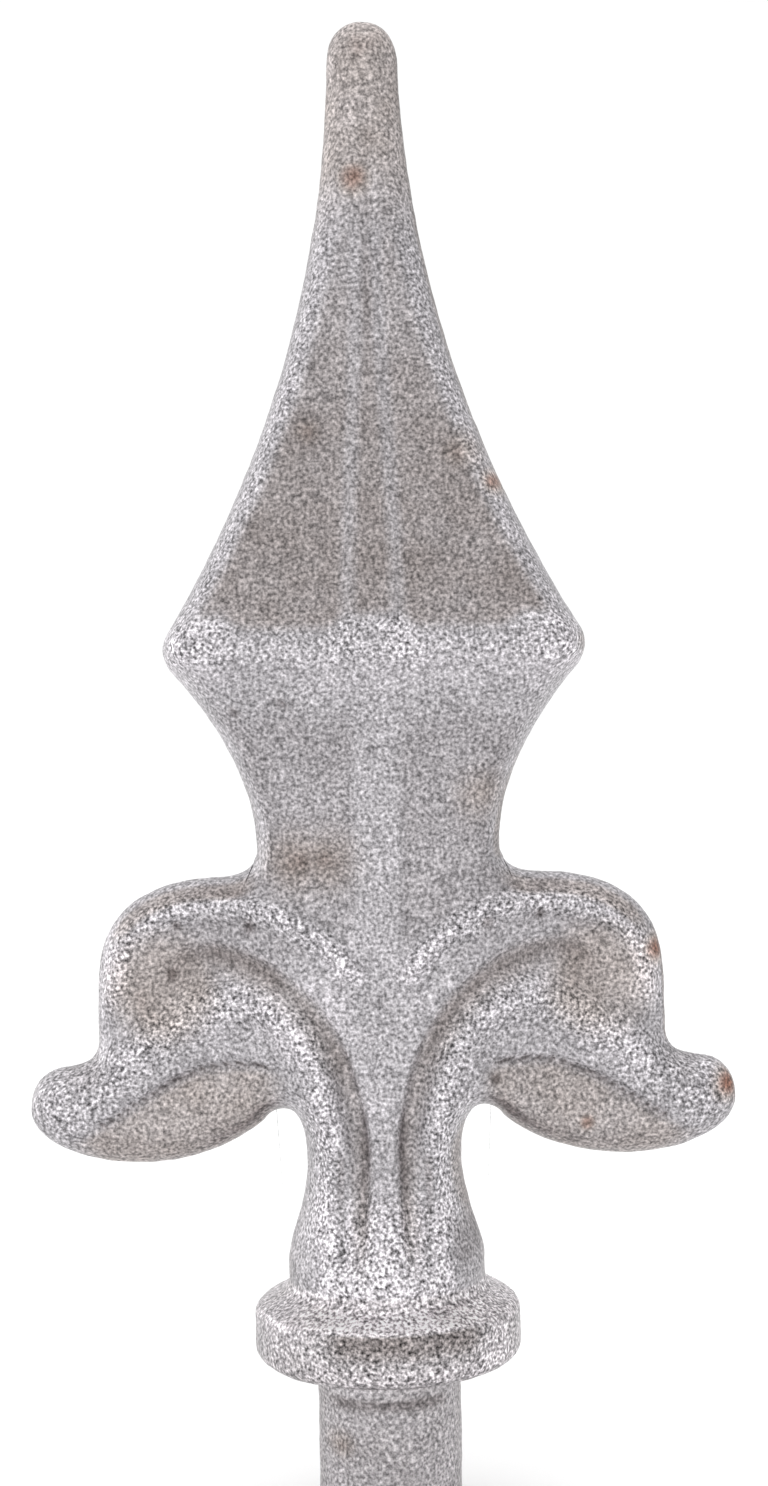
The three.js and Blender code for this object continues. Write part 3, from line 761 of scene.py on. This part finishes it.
# Floor of the studio: a wide sheet of matte white card under the stem's end, which gives the eye an even
# near-white and throws soft light up at the collar. Sizes and places of the floor and lights are metres.
FLOOR_HALF = 3
FLOOR_COLOUR = "#fbfbfb"
FLOOR_ROUGHNESS = 0.9
bm = bmesh.new()
bmesh.ops.create_grid(bm, x_segments=1, y_segments=1, size=FLOOR_HALF)
floor_mesh = bpy.data.meshes.new("floor")
bm.to_mesh(floor_mesh)
bm.free()
floor = bpy.data.objects.new("floor", floor_mesh)
bpy.context.scene.collection.objects.link(floor)
pale = bpy.data.materials.new("pale_matte_floor")
pale.use_nodes = True
card = pale.node_tree.nodes["Principled BSDF"]
card.inputs["Base Color"].default_value = linear(FLOOR_COLOUR)
card.inputs["Roughness"].default_value = FLOOR_ROUGHNESS
floor_mesh.materials.append(pale)


# Light of the studio: a white surround that glows a little more from the lower left, a softbox behind on
# the left, a small one in front, and a broad soft light overhead.
GLOW_TOWARDS = (-0.94, 0, -0.34)
GLOW_LEAST = 0.9
GLOW_MOST = 1.2
LIGHTS_AIM = Vector((0, 0, 0.08))
LEFT_PLACE = Vector((-0.5, 0.25, 0.15))
LEFT_SIZE = 0.4
LEFT_POWER = 0.45
FRONT_PLACE = Vector((-0.05, -0.6, 0.05))
FRONT_SIZE = 0.2
FRONT_POWER = 0.15
OVERHEAD_SPREAD = math.radians(90)
OVERHEAD_POWER = 0.6


def softbox(name, place, size, power):
    """A square lamp that is turned to the middle of the finial."""
    lamp = bpy.data.lights.new(name, "AREA")
    lamp.size = size
    lamp.energy = power
    stand = bpy.data.objects.new(name, lamp)
    stand.location = place
    stand.rotation_mode = "QUATERNION"
    stand.rotation_quaternion = (LIGHTS_AIM - place).to_track_quat("-Z", "Y")
    bpy.context.scene.collection.objects.link(stand)


world = bpy.data.worlds.new("studio")
world.use_nodes = True
tree = world.node_tree
background = tree.nodes["Background"]
direction = node(tree, "ShaderNodeTexCoord").outputs["Generated"]
towards = node(
    tree, "ShaderNodeVectorMath", {0: direction, 1: GLOW_TOWARDS}, operation="DOT_PRODUCT").outputs["Value"]
glow = node(
    tree, "ShaderNodeMapRange",
    {"Value": towards, "From Min": -1.0, "To Min": GLOW_LEAST, "To Max": GLOW_MOST}).outputs["Result"]
background.inputs["Color"].default_value = linear("#ffffff")
tree.links.new(glow, background.inputs["Strength"])
bpy.context.scene.world = world

softbox("left_softbox", LEFT_PLACE, LEFT_SIZE, LEFT_POWER)
softbox("front_softbox", FRONT_PLACE, FRONT_SIZE, FRONT_POWER)
overhead = bpy.data.lights.new("overhead_softbox", "SUN")
overhead.angle = OVERHEAD_SPREAD
overhead.energy = OVERHEAD_POWER
bpy.context.scene.collection.objects.link(bpy.data.objects.new("overhead_softbox", overhead))


# Camera: close in front and level with the middle of the finial, as the collar's curve in the photograph
# shows, and tilted sideways by the little that the picture leans.
CAMERA_X = 0.8
CAMERA_Z = 78.07
CAMERA_DISTANCE = 200
CAMERA_TILT = math.radians(1.2)
CLIP_START = 10
FOCAL_PIXELS = 2000
FRAME_HEIGHT = 1486
SENSOR = 36
camera = bpy.data.cameras.new("camera")
camera.sensor_width = SENSOR
camera.lens = FOCAL_PIXELS / FRAME_HEIGHT * SENSOR
camera.clip_start = CLIP_START * MM
tripod = bpy.data.objects.new("camera", camera)
tripod.location = CAMERA_X * MM, -CAMERA_DISTANCE * MM, CAMERA_Z * MM
tripod.rotation_euler = math.pi / 2, CAMERA_TILT, 0
bpy.context.scene.collection.objects.link(tripod)
bpy.context.scene.camera = tripod
bpy.context.scene.view_settings.view_transform = "Standard"
